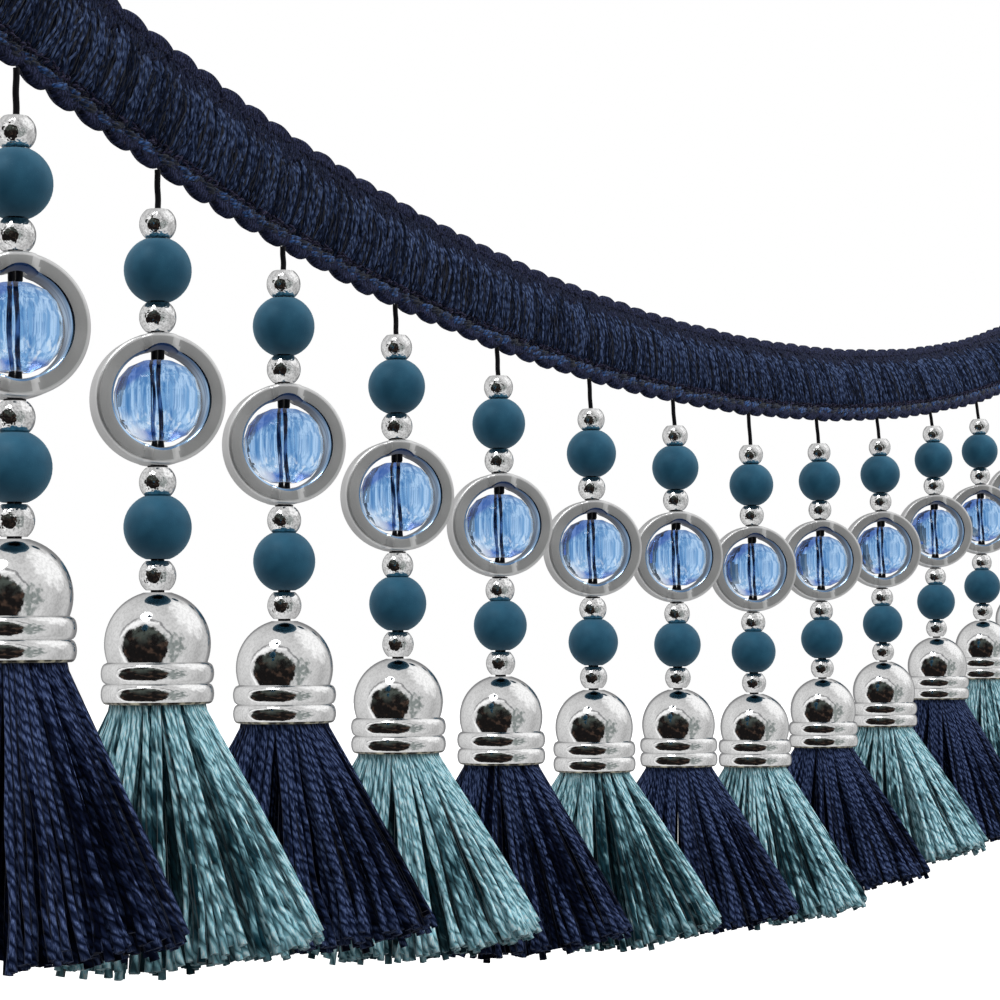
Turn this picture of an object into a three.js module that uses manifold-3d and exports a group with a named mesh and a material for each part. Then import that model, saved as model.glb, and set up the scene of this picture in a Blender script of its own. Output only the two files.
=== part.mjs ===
// Beaded fringe trim: a heading band hung in a swag, with thirteen beaded pendants that end in tassels.
// Millimetres, +Z up. The origin is the middle of the band's top edge, +X runs along the trim and
// the front of the trim faces -Y.

import * as THREE from "three";
import Module from "manifold-3d";
import { mergeVertices } from "three/addons/utils/BufferGeometryUtils.js";

const wasm = await Module();
wasm.setup();

// Row of pendants
const pendantCount = 13;
const pendantPitch = 38.2;
const rowHalf = (pendantPitch * (pendantCount - 1)) / 2;
const bandHalf = (pendantPitch * pendantCount) / 2;

// Swag: how far each end rises, leans and comes forward, from the middle of the row to its last pendant
const endRise = 22.9;
const endTilt = -3.8;
const endTwist = 2.0;
const endForward = 7.6;
const planSkew = 9.2;
const leanAtStart = -9;
const leanAtEnd = 29;

// Heading band
const bandHeight = 20.4;
const topChain = { height: 2.4, thickness: 2.4, wave: 0.3 };
const bottomChain = { height: 3.9, thickness: 3.2, wave: 0.3 };
const stripThickness = 1.8;
const scallopsPerPitch = 5;
const stripStepsPerPitch = 3;
const pieceGap = 0.3;

// Cord and beads, with heights measured from the ring's centre
const cordRadius = 0.45;
const doubledCordRadius = 1.0;
const silverRadius = 2.75;
const tealRadius = 5;
const crystalRadius = 6.55;
const crystalHeight = 11.8;
const silverHole = 1.25;
const tealHoles = { top: 1.8, bottom: 1.5 };
const ringCentreBelowBand = 32.5;
const strandSides = 6;
const silverHeights = { first: 26.05, second: 12.2, third: -12.2, fourth: -25.9 };
const tealHeights = { upper: 19.2, lower: -18.8 };
const silverRows = 4;
const tealRows = 5;

// The crystal's profile: radius and half height as shares of its own
const crystalRows = [
  { radius: 0.5, height: 1 },
  { radius: 0.87, height: 0.66 },
  { radius: 1, height: 0 },
  { radius: 0.87, height: -0.66 },
  { radius: 0.5, height: -1 },
];

// Ring round the crystal
const ringRadius = 9.7;
const ringBore = 7.45;
const ringThickness = 5.6;
const ringSides = 16;
const ringHoleRadius = 1.55;
const ringHoleSides = 6;

// Tassel cap, with heights measured from the ring's centre
const capTop = -28.2;
const capHole = 2.0;
const capHoleDepth = 0.9;
const cordDepthInCap = 4.2;
const capDomeRadius = 7.77;
const capDomeCentre = -35.9;
const capDomeAngles = [0.5, 1.1];
const capRibRadius = 8.24;
const capRibHeight = 3.0;
const capRibTop = -38.7;
const capValleyRadius = 7.69;
const capMouthHeight = capRibTop - 2 * capRibHeight;
const capInnerRadius = 6.95;
const capSides = 8;

// Tassel: an elliptical skirt, narrower along the row so that neighbours hang clear of each other
const headRadius = 6.2;
const headHeight = 6.5;
const headAboveMouth = 0.3;
const rootDepthInHead = 0.7;
const headSides = 6;
const skirtAlongRow = 18.4;
const skirtAcrossRow = 25.4;
const skirtDrop = 34.2;
const lockRings = [
  { count: 12, rootRadius: 5.3, reach: 1, inner: 0.66, fill: 0.86 },
  { count: 3, rootRadius: 2.9, reach: 0.56, inner: 0.1, fill: 0.8 },
];
const reachUnevenness = 0.02;
const endUnevenness = 0.9;

// What differs from one pendant to the next: extra cord below the band and extra yarn in the tassel,
// in mm, and the turn of its ring's axis from the X axis, in degrees
const pendants = [
  { extraCord: 0.9, extraYarn: 0, ringTurn: 50 },
  { extraCord: 0.3, extraYarn: 0, ringTurn: 47 },
  { extraCord: -1.7, extraYarn: -2, ringTurn: 44.5 },
  { extraCord: -0.2, extraYarn: -3, ringTurn: 42 },
  { extraCord: -0.2, extraYarn: -3, ringTurn: 40 },
  { extraCord: 0.6, extraYarn: -3.4, ringTurn: 38 },
  { extraCord: 0.1, extraYarn: -3, ringTurn: 36 },
  { extraCord: 2, extraYarn: -3, ringTurn: 34 },
  { extraCord: 0.7, extraYarn: -4, ringTurn: 33 },
  { extraCord: 0, extraYarn: -3.4, ringTurn: 31.5 },
  { extraCord: -1.5, extraYarn: 0, ringTurn: 30.5 },
  { extraCord: -0.2, extraYarn: 2, ringTurn: 29.5 },
  { extraCord: -0.6, extraYarn: 1, ringTurn: 28.5 },
];

// Finishes, read from the object
const finishes = {
  band: { color: 0x1b2548, roughness: 0.75, metalness: 0 },
  navyYarn: { color: 0x1a2346, roughness: 0.6, metalness: 0 },
  tealYarn: { color: 0x5d8d97, roughness: 0.5, metalness: 0 },
  beads: { color: 0x2f5b73, roughness: 0.55, metalness: 0 },
  ring: { color: 0xa3a4a6, roughness: 0.4, metalness: 0.6 },
  silver: { color: 0xd9d9d8, roughness: 0.1, metalness: 1 },
};

const trim = new THREE.Group();

function addPiece(name, geometry, finish, parent = trim) {
  const mesh = new THREE.Mesh(geometry, new THREE.MeshStandardMaterial(finishes[finish]));
  mesh.name = name;
  parent.add(mesh);
  return mesh;
}

function welded(geometry) {
  geometry.deleteAttribute("normal");
  geometry.deleteAttribute("uv");
  return mergeVertices(geometry, 1e-4);
}

function toManifold(geometry) {
  const merged = welded(geometry);
  return new wasm.Manifold(new wasm.Mesh({
    numProp: 3,
    vertProperties: new Float32Array(merged.attributes.position.array),
    triVerts: new Uint32Array(merged.index.array),
  }));
}

function fromManifold(solid) {
  const mesh = solid.getMesh();
  const geometry = new THREE.BufferGeometry();
  geometry.setAttribute("position", new THREE.BufferAttribute(new Float32Array(mesh.vertProperties), 3));
  geometry.setIndex(new THREE.BufferAttribute(new Uint32Array(mesh.triVerts), 1));
  return geometry;
}

// Moves every vertex of a geometry to the place that a function gives for it
function reshape(geometry, place) {
  const position = geometry.attributes.position;
  const point = new THREE.Vector3();
  for (let i = 0; i < position.count; i += 1) {
    point.fromBufferAttribute(position, i);
    point.copy(place(point));
    position.setXYZ(i, point.x, point.y, point.z);
  }
  return geometry;
}

// Same small unevenness each time, from -1 to 1, for a numbered lock or pendant
function uneven(number, salt) {
  const value = Math.sin(number * 12.9898 + salt * 78.233) * 43758.5453;
  return (value - Math.floor(value)) * 2 - 1;
}

// The swag's top edge at x, and the directions along the band, down it and out of its front
function swagAt(x) {
  const u = x / rowHalf;
  const edge = new THREE.Vector3(
    x,
    -endForward * u * u + planSkew * (u * u * u - u),
    endRise * u * u + endTilt * u + endTwist * u * u * u,
  );
  const along = new THREE.Vector3(
    rowHalf,
    -2 * endForward * u + planSkew * (3 * u * u - 1),
    2 * endRise * u + endTilt + 3 * endTwist * u * u,
  ).normalize();
  const lean = THREE.MathUtils.degToRad(THREE.MathUtils.lerp(leanAtStart, leanAtEnd, (u + 1) / 2));
  const front = new THREE.Vector3(along.y, -along.x, 0).normalize();
  const down = new THREE.Vector3(0, 0, -Math.cos(lean)).addScaledVector(front, Math.sin(lean));
  const out = new THREE.Vector3().crossVectors(down, along).normalize();
  return { edge, along, down, out };
}

function bandPoint(x, depth, outward) {
  const { edge, down, out } = swagAt(x);
  return edge.clone().addScaledVector(down, depth).addScaledVector(out, outward);
}

function makeStrip() {
  const steps = pendantCount * stripStepsPerPitch;
  const depthFrom = topChain.height + pieceGap;
  const depthTo = bandHeight - bottomChain.height - pieceGap;
  const box = new THREE.BoxGeometry(2 * bandHalf, stripThickness, depthTo - depthFrom, steps, 1, 1);
  const middle = (depthFrom + depthTo) / 2;
  return reshape(welded(box), (p) => bandPoint(p.x, middle - p.z, -p.y));
}

// An edge chain is one lump of yarn for each scallop, narrowed between one lump and the next
function makeChain(chain, middleDepth) {
  const scallops = pendantCount * scallopsPerPitch;
  const pitch = (2 * bandHalf) / scallops;
  const box = new THREE.BoxGeometry(2 * bandHalf, 1, 1, scallops * 2, 1, 1);
  return reshape(welded(box), (p) => {
    const fullness = 1 - 2 * chain.wave * Math.abs(Math.cos((Math.PI * (p.x + bandHalf)) / pitch));
    const depth = middleDepth - p.z * chain.height * fullness;
    return bandPoint(p.x, depth, -p.y * chain.thickness * fullness);
  });
}

function revolve(profile, sides) {
  const points = profile.map(([radius, height]) => new THREE.Vector2(radius, height));
  return welded(new THREE.LatheGeometry(points, sides)).rotateX(Math.PI / 2);
}

// Profile of a bead from its top to its bottom, where holes cut its ends flat
function beadProfile(radius, centre, topHole, bottomHole, rows) {
  const from = Math.asin(topHole / radius);
  const to = Math.PI - Math.asin(bottomHole / radius);
  return Array.from({ length: rows }, (_, row) => {
    const angle = THREE.MathUtils.lerp(from, to, row / (rows - 1));
    return [radius * Math.sin(angle), centre + radius * Math.cos(angle)];
  });
}

function crystalProfile() {
  return crystalRows.map(({ radius, height }) => [crystalRadius * radius, (crystalHeight / 2) * height]);
}

// The cord with all that is threaded on it, from the band down into the tassel's cap
function makeStrand(cordTop) {
  const silver = (height) => beadProfile(silverRadius, height, silverHole, silverHole, silverRows);
  const teal = (height) => beadProfile(tealRadius, height, tealHoles.top, tealHoles.bottom, tealRows);
  const crystalHalf = crystalHeight / 2;
  const cordEnd = capTop - cordDepthInCap;
  return revolve([
    [0, cordTop],
    [cordRadius, cordTop],
    [cordRadius, silverHeights.first + silverRadius],
    ...silver(silverHeights.first),
    ...teal(tealHeights.upper),
    ...silver(silverHeights.second),
    [doubledCordRadius, silverHeights.second - silverRadius],
    [doubledCordRadius, crystalHalf],
    ...crystalProfile(),
    [doubledCordRadius, -crystalHalf],
    [doubledCordRadius, silverHeights.third + silverRadius],
    ...silver(silverHeights.third),
    ...teal(tealHeights.lower),
    ...silver(silverHeights.fourth),
    [doubledCordRadius, cordEnd],
    [0, cordEnd],
  ].reverse(), strandSides);
}

// The ring stands on edge, drilled through its wall at the top and the bottom for the cord
function makeRing(turn) {
  const half = ringThickness / 2;
  const wall = new THREE.LatheGeometry([
    [ringBore, -half],
    [ringRadius, -half],
    [ringRadius, half],
    [ringBore, half],
    [ringBore, -half],
  ].map(([radius, depth]) => new THREE.Vector2(radius, depth)), ringSides);
  const drill = new THREE.CylinderGeometry(ringHoleRadius, ringHoleRadius, ringRadius * 3, ringHoleSides);
  wall.rotateZ(Math.PI / 2).rotateX(Math.PI / ringSides).rotateZ(THREE.MathUtils.degToRad(turn));
  drill.rotateX(Math.PI / 2);
  return fromManifold(toManifold(wall).subtract(toManifold(drill)));
}

// The cap is a bell with two half-round ribs above its mouth and a hole at its top for the cord
function makeCap() {
  const dome = capDomeAngles.map((angle) => [
    capDomeRadius * Math.sin(angle),
    capDomeCentre + capDomeRadius * Math.cos(angle),
  ]);
  const ribs = [0, 1].flatMap((row) => {
    const top = capRibTop - row * capRibHeight;
    return [
      [capValleyRadius, top],
      [capRibRadius, top - capRibHeight * 0.3],
      [capRibRadius, top - capRibHeight * 0.7],
    ];
  });
  const ceiling = capMouthHeight + headAboveMouth + headHeight + pieceGap;
  return revolve([
    [capHole, capTop - capHoleDepth],
    [capHole, capTop],
    ...dome,
    ...ribs,
    [capInnerRadius, capMouthHeight],
    [capInnerRadius, ceiling],
    [capHole, capTop - capHoleDepth],
  ].reverse(), capSides);
}

// A lock of yarn with three sides: its outer edge lies on the skirt and its third corner inside
function makeLock(lock) {
  const section = new THREE.Shape([
    new THREE.Vector2(0, 0),
    new THREE.Vector2(1, 1),
    new THREE.Vector2(-1, 1),
  ]);
  const prism = new THREE.ExtrudeGeometry(section, { depth: 1, steps: 1, bevelEnabled: false });
  return reshape(welded(prism), (p) => {
    const isRoot = p.z > 0.5;
    const along = isRoot ? lock.rootRadius : skirtAlongRow * lock.reach;
    const across = isRoot ? lock.rootRadius : skirtAcrossRow * lock.reach;
    const angle = lock.angle - p.x * lock.halfTurn;
    const depth = THREE.MathUtils.lerp(lock.inner, 1, p.y);
    const height = isRoot ? lock.rootHeight : lock.endHeight;
    return new THREE.Vector3(along * depth * Math.cos(angle), across * depth * Math.sin(angle), height);
  });
}

function makeTassel(number, extraYarn) {
  const headBottom = capMouthHeight + headAboveMouth;
  const head = new THREE.CylinderGeometry(headRadius, headRadius, headHeight, headSides);
  head.rotateX(Math.PI / 2).translate(0, 0, headBottom + headHeight / 2);
  let tassel = toManifold(head);
  let lockNumber = number * 20;
  lockRings.forEach((ring) => {
    for (let i = 0; i < ring.count; i += 1) {
      lockNumber += 1;
      tassel = tassel.add(toManifold(makeLock({
        angle: (2 * Math.PI * (i + 0.5)) / ring.count,
        halfTurn: (Math.PI * ring.fill) / ring.count,
        inner: ring.inner,
        rootRadius: ring.rootRadius,
        rootHeight: headBottom + rootDepthInHead,
        reach: ring.reach * (1 + reachUnevenness * uneven(lockNumber, 1)),
        endHeight: capMouthHeight - skirtDrop - extraYarn + endUnevenness * uneven(lockNumber, 2),
      })));
    }
  });
  return fromManifold(tassel);
}

addPiece("top_chain", makeChain(topChain, topChain.height / 2), "band");
addPiece("heading_band", makeStrip(), "band");
addPiece("bottom_chain", makeChain(bottomChain, bandHeight - bottomChain.height / 2), "band");

pendants.forEach(({ extraCord, extraYarn, ringTurn }, index) => {
  const number = String(index + 1).padStart(2, "0");
  const hangsFrom = bandPoint(-rowHalf + index * pendantPitch, bandHeight, 0);
  const pendant = new THREE.Group();
  pendant.position.copy(hangsFrom);
  pendant.position.z -= ringCentreBelowBand + extraCord;
  trim.add(pendant);
  const cordTop = ringCentreBelowBand + extraCord - pieceGap;
  addPiece(`strand_${number}`, makeStrand(cordTop), "beads", pendant);
  addPiece(`ring_${number}`, makeRing(ringTurn), "ring", pendant);
  addPiece(`cap_${number}`, makeCap(), "silver", pendant);
  const tassel = makeTassel(index, extraYarn);
  addPiece(`tassel_${number}`, tassel, index % 2 === 0 ? "navyYarn" : "tealYarn", pendant);
});

export default trim;
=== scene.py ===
"""Beaded fringe trim: the looks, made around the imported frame.

Sizes are in millimetres, in the frame's axes, until a mesh or a light is made from them.
"""

import math

import bpy
import numpy as np
from mathutils import Matrix, Vector


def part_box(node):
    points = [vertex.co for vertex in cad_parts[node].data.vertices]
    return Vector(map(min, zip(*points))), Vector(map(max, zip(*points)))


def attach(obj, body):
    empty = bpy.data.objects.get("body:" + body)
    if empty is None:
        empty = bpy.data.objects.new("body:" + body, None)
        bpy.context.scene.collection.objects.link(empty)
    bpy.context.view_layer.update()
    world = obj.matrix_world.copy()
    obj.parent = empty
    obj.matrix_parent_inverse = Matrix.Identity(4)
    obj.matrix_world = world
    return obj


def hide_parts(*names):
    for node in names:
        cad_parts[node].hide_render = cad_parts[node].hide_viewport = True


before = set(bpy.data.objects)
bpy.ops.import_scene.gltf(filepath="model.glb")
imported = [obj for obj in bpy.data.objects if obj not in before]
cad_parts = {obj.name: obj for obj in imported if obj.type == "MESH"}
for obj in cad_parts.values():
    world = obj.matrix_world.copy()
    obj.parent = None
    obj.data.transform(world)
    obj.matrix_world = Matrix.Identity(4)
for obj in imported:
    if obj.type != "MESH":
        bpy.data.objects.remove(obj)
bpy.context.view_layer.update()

MM = 0.001

# Row of pendants and swag of the heading, as in the part's source
PENDANTS = 13
PITCH = 38.2
ROW_HALF = PITCH * (PENDANTS - 1) / 2
BAND_HALF = PITCH * PENDANTS / 2
END_RISE = 22.9
END_TILT = -3.8
END_TWIST = 2.0
END_FORWARD = 7.6
PLAN_SKEW = 9.2
LEAN_AT_START = -9
LEAN_AT_END = 29
BAND_HEIGHT = 20.4
SCALLOP = PITCH / 5

# Turn of each ring's axis from the X axis, in degrees
RING_TURNS = [50, 47, 44.5, 42, 40, 38, 36, 34, 33, 31.5, 30.5, 29.5, 28.5]

# How much longer each tassel's yarn is than YARN_LENGTH
EXTRA_YARN = [1.5, 0, -2, -3, -3, -3.4, -3, -3, -4, -3.4, 0, 2, 1]

# Camera, fitted to the pendants and the heading's edges; the picture is 1000 pixels square
CAMERA_PLACE = (-496.45, -210.35, -72.36)
CAMERA_YAW = 26.649
CAMERA_PITCH = 3.434
CAMERA_ROLL = -0.438
CAMERA_LENS = 90
SENSOR_WIDTH = 36


def unit(vectors):
    return vectors / np.linalg.norm(vectors, axis=-1, keepdims=True)


def lerp(a, b, share):
    return a + (b - a) * share


def joined(*parts):
    """Points whose coordinates are the parts."""
    return np.stack(np.broadcast_arrays(*parts), axis=-1)


def link(thing):
    bpy.context.scene.collection.objects.link(thing)
    return thing


# Camera, world, lights and floor


def make_camera():
    yaw, pitch, roll = (math.radians(a) for a in (CAMERA_YAW, CAMERA_PITCH, CAMERA_ROLL))
    level = Vector((math.cos(yaw), math.sin(yaw), 0))
    right = Vector((math.sin(yaw), -math.cos(yaw), 0))
    forward = level * math.cos(pitch) + Vector((0, 0, math.sin(pitch)))
    up = right.cross(forward)
    turned_right = right * math.cos(roll) + up * math.sin(roll)
    turned_up = up * math.cos(roll) - right * math.sin(roll)
    data = bpy.data.cameras.new("camera")
    data.lens = CAMERA_LENS
    data.sensor_width = SENSOR_WIDTH
    data.sensor_fit = "HORIZONTAL"
    data.clip_start = 0.01
    camera = bpy.data.objects.new("camera", data)
    axes = Matrix((turned_right, turned_up, -forward)).transposed().to_4x4()
    camera.matrix_world = Matrix.Translation(Vector(CAMERA_PLACE) * MM) @ axes
    link(camera)
    bpy.context.scene.camera = camera
    return forward, right


def towards(azimuth, elevation):
    """The direction at an angle to the right of the camera and above it, seen from the row."""
    turn, rise = math.radians(azimuth), math.radians(elevation)
    level = Vector((forward.x, forward.y, 0)).normalized()
    away = (-level * math.cos(turn) + right * math.sin(turn)) * math.cos(rise)
    return away + Vector((0, 0, math.sin(rise)))


class Nodes:
    """Makes the nodes of one tree. An input is a number, a colour or another node's socket."""

    def __init__(self, tree):
        self.tree = tree
        tree.nodes.clear()

    def put(self, socket, value):
        if isinstance(value, bpy.types.NodeSocket):
            self.tree.links.new(value, socket)
        elif socket.type == "RGBA":
            socket.default_value = (*value, 1)
        else:
            socket.default_value = value

    def add(self, kind, inputs=None, **settings):
        node = self.tree.nodes.new(kind)
        for name, value in settings.items():
            setattr(node, name, value)
        for key, value in (inputs or {}).items():
            self.put(node.inputs[key], value)
        return node

    def math(self, operation, *values):
        return self.add("ShaderNodeMath", dict(enumerate(values)), operation=operation).outputs[0]

    def times(self, a, b):
        return self.math("MULTIPLY", a, b)

    def plus(self, a, b):
        return self.math("ADD", a, b)

    def scaled(self, value, factor, offset):
        return self.math("MULTIPLY_ADD", value, factor, offset)

    def rest_of(self, value):
        return self.math("SUBTRACT", 1.0, value)

    def size_of(self, value):
        return self.math("ABSOLUTE", value)

    def vector_math(self, operation, a, b, output):
        return self.add("ShaderNodeVectorMath", {0: a, 1: b}, operation=operation).outputs[output]

    def mix(self, factor, a, b, blend="MIX"):
        inputs = {0: factor, 6: a, 7: b}
        return self.add("ShaderNodeMix", inputs, data_type="RGBA", blend_type=blend).outputs[2]

    def ramp(self, value, low, high):
        """The value's place between low and high, from 0 to 1, with soft ends."""
        inputs = {"Value": value, "From Min": low, "From Max": high}
        return self.add("ShaderNodeMapRange", inputs, interpolation_type="SMOOTHSTEP").outputs[0]

    def noise(self, vector, scale, detail=2.0, roughness=0.5):
        """A scale of three numbers stretches the noise along the axes."""
        if isinstance(scale, tuple):
            vector, scale = self.vector_math("MULTIPLY", vector, scale, 0), 1.0
        inputs = {"Vector": vector, "Scale": scale, "Detail": detail, "Roughness": roughness}
        return self.add("ShaderNodeTexNoise", inputs).outputs["Fac"]

    def place(self, kind):
        return self.add("ShaderNodeTexCoord").outputs[kind]

    def split(self, vector):
        return self.add("ShaderNodeSeparateXYZ", {0: vector}).outputs

    def even(self, value):
        """A grey colour of the value."""
        return self.add("ShaderNodeCombineXYZ", {0: value, 1: value, 2: value}).outputs[0]

    def bump(self, height, distance, strength):
        inputs = {"Height": height, "Distance": distance * MM, "Strength": strength}
        return self.add("ShaderNodeBump", inputs).outputs[0]


class Finish(Nodes):
    """A material of its own, made from the inputs of its one shader."""

    def __init__(self, name):
        self.material = bpy.data.materials.new(name)
        self.material.use_nodes = True
        super().__init__(self.material.node_tree)

    def made(self, **inputs):
        inputs = {name.replace("_", " "): value for name, value in inputs.items()}
        shader = self.add("ShaderNodeBsdfPrincipled", inputs)
        self.add("ShaderNodeOutputMaterial", {"Surface": shader.outputs[0]})
        return self.material


def grey(value):
    return (value, value, value)


# What reflections see: a pale studio with a dark patch where its open side and the camera are, a
# bright bow and a grey arc over that patch and a soft box high on the right. Places are angles to
# the right of the camera and above it
WALL_NEAR = 0.72
WALL_FAR = 0.52
PATCH_PLACE = (-22, -5)
PATCH_HALF_WIDTH = 53
PATCH_HALF_HEIGHT = 46
PATCH_DARK = (0.010, 0.009, 0.009)
PATCH_BROWN = (0.10, 0.062, 0.045)
PATCH_GREEN = (0.075, 0.09, 0.08)
ARC_GREY = (0.16, 0.16, 0.17)
BESIDE_PLACE = (42, -5)
BESIDE_GREEN = (0.12, 0.16, 0.15)
RIM_GREY = (0.10, 0.10, 0.105)
SOFT_BOX_PLACE = (112, 42)
SOFT_BOX_LIGHT = 1.05

# What shows through glass
THROUGH_ABOVE = 1.0
THROUGH_BELOW = 0.92

# What lights cloth and beads: a soft light that comes from above
LIGHT_ABOVE = 0.85
LIGHT_BELOW = 0.08


def make_world():
    world = bpy.data.worlds.new("studio")
    bpy.context.scene.world = world
    world.use_nodes = True
    n = Nodes(world.node_tree)
    direction = n.place("Generated")

    centre = towards(*PATCH_PLACE)
    side = Vector((0, 0, 1)).cross(centre).normalized()
    over = centre.cross(side).normalized()

    def share(axis):
        return n.vector_math("DOT_PRODUCT", direction, tuple(axis), "Value")

    ahead = n.math("MAXIMUM", share(centre), 0.02)

    def patch_share(axis, half_angle):
        tangent = n.math("DIVIDE", share(axis), ahead)
        return n.math("DIVIDE", tangent, math.tan(math.radians(half_angle)))

    aside = patch_share(side, PATCH_HALF_WIDTH)
    raised = patch_share(over, PATCH_HALF_HEIGHT)
    distance = n.math("SQRT", n.plus(n.times(aside, aside), n.times(raised, raised)))
    ragged = n.scaled(n.noise(direction, 2.6, 3.0), 0.75, -0.6)
    ragged = n.scaled(n.noise(direction, 9.0, 3.0), 0.45, ragged)
    distance = n.plus(distance, ragged)
    inside = n.rest_of(n.ramp(distance, 0.86, 1.02))

    def arc_of(inner, outer, soft):
        rise = n.ramp(distance, inner - soft, inner + soft)
        fall = n.ramp(distance, outer - soft, outer + soft)
        return n.times(rise, n.rest_of(fall))

    over_left = n.ramp(n.scaled(aside, -0.5, raised), 0.85, 1.15)
    under_left = n.ramp(n.times(n.plus(raised, aside), -1.0), 1.25, 1.5)
    under_left = n.times(under_left, n.ramp(n.times(aside, -1.0), 0.3, 0.6))
    bow = n.times(arc_of(1.06, 1.42, 0.06), n.math("MAXIMUM", over_left, under_left))
    arc_share = n.times(arc_of(1.52, 1.74, 0.08), n.ramp(raised, 0.3, 0.9))
    arc_share = n.times(arc_share, 0.75)

    box = share(towards(*SOFT_BOX_PLACE))
    boxed = n.ramp(n.scaled(n.noise(direction, 4.5, 3.0), 0.4, box), 0.98, 1.16)

    clouds = n.scaled(n.noise(direction, 1.3, 1.0), 0.36, -0.18)
    wall = n.scaled(n.ramp(share(centre), -0.9, 0.3), WALL_NEAR - WALL_FAR, WALL_FAR)
    wall = n.plus(wall, clouds)
    wall = n.even(wall)
    mottle = n.mix(n.ramp(n.noise(direction, 4.0, 4.0), 0.5, 0.78), PATCH_DARK, PATCH_BROWN)
    green = n.times(n.ramp(n.noise(direction, 2.7, 3.0), 0.4, 0.6), n.ramp(raised, -0.1, 0.6))
    mottle = n.mix(green, mottle, PATCH_GREEN)
    rim = n.times(n.ramp(share(forward), 0.76, 0.97), 0.5)
    spot = share(towards(*BESIDE_PLACE))
    beside = n.ramp(n.scaled(n.noise(direction, 5.0, 4.0), 0.7, spot), 1.20, 1.34)
    reflected = n.mix(n.math("MAXIMUM", arc_share, rim), wall, ARC_GREY)
    reflected = n.mix(rim, reflected, RIM_GREY)
    reflected = n.mix(n.times(beside, 0.75), reflected, BESIDE_GREEN)
    reflected = n.mix(n.math("MAXIMUM", bow, boxed), reflected, grey(SOFT_BOX_LIGHT))
    reflected = n.mix(inside, reflected, mottle)

    height = share(Vector((0, 0, 1)))
    soft = n.mix(n.ramp(height, -0.7, 0.9), grey(LIGHT_BELOW), grey(LIGHT_ABOVE))
    through = n.mix(n.ramp(height, -0.5, 0.6), grey(THROUGH_BELOW), grey(THROUGH_ABOVE))
    path = n.add("ShaderNodeLightPath").outputs
    colour = n.mix(path["Is Glossy Ray"], soft, reflected)
    colour = n.mix(path["Is Transmission Ray"], colour, through)
    colour = n.mix(path["Is Camera Ray"], colour, grey(1.0))
    background = n.add("ShaderNodeBackground", {"Color": colour, "Strength": 1.0})
    n.add("ShaderNodeOutputWorld", {"Surface": background.outputs[0]})


LIGHT_AIM = Vector((0, 0, -60))
LIGHT_DISTANCE = 1500


def make_light(name, place, size, radiance):
    """A round soft light, placed by its angles to the right of the camera and above it."""
    away = towards(*place)
    data = bpy.data.lights.new(name, "AREA")
    data.shape = "DISK"
    data.size = size * MM
    data.energy = radiance * math.pi * (size * MM) ** 2
    light = bpy.data.objects.new(name, data)
    light.location = (LIGHT_AIM + away * LIGHT_DISTANCE) * MM
    light.rotation_euler = (-away).to_track_quat("-Z", "Y").to_euler()
    return link(light)


FLOOR_HEIGHT = -300
FLOOR_HALF = 9000


def make_floor():
    corners = [(-1, -1), (1, -1), (1, 1), (-1, 1)]
    points = np.array([(x * FLOOR_HALF, y * FLOOR_HALF, FLOOR_HEIGHT) for x, y in corners], float)
    floor = make_piece("floor", points, [(0, 1, 2, 3)], [floor_finish()], smooth=False)
    floor.visible_glossy = False
    floor.visible_diffuse = False
    floor.visible_transmission = False


# Meshes


def make_mesh(name, points, faces, finishes, uv=None, tone=None, smooth=True, sharp=None):
    mesh = bpy.data.meshes.new(name)
    mesh.from_pydata((np.asarray(points) * MM).tolist(), [], faces)
    if uv is not None:
        layer = mesh.uv_layers.new(name="UVMap")
        layer.data.foreach_set("uv", np.asarray(uv, np.float32).ravel())
    if tone is not None:
        attribute = mesh.attributes.new("tone", "FLOAT", "POINT")
        attribute.data.foreach_set("value", np.asarray(tone, np.float32).ravel())
    for finish in finishes:
        mesh.materials.append(finish)
    mesh.polygons.foreach_set("use_smooth", [smooth] * len(mesh.polygons))
    if sharp is not None:
        mesh.set_sharp_from_angle(angle=math.radians(sharp))
    mesh.update()
    return mesh


def give_finishes(mesh, indices):
    mesh.polygons.foreach_set("material_index", indices.astype(int))


def add_object(name, mesh, place, turn=0.0):
    piece = bpy.data.objects.new(name, mesh)
    piece.location = Vector(place) * MM
    piece.rotation_euler = (0, 0, turn)
    return link(piece)


def make_piece(name, points, faces, finishes, place=(0, 0, 0), **options):
    return add_object(name, make_mesh(name, points, faces, finishes, **options), place)


def dress(piece, slot, *nodes):
    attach(piece, "root")
    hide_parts(*nodes)
    return piece


UV_SHIFT = 60


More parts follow.
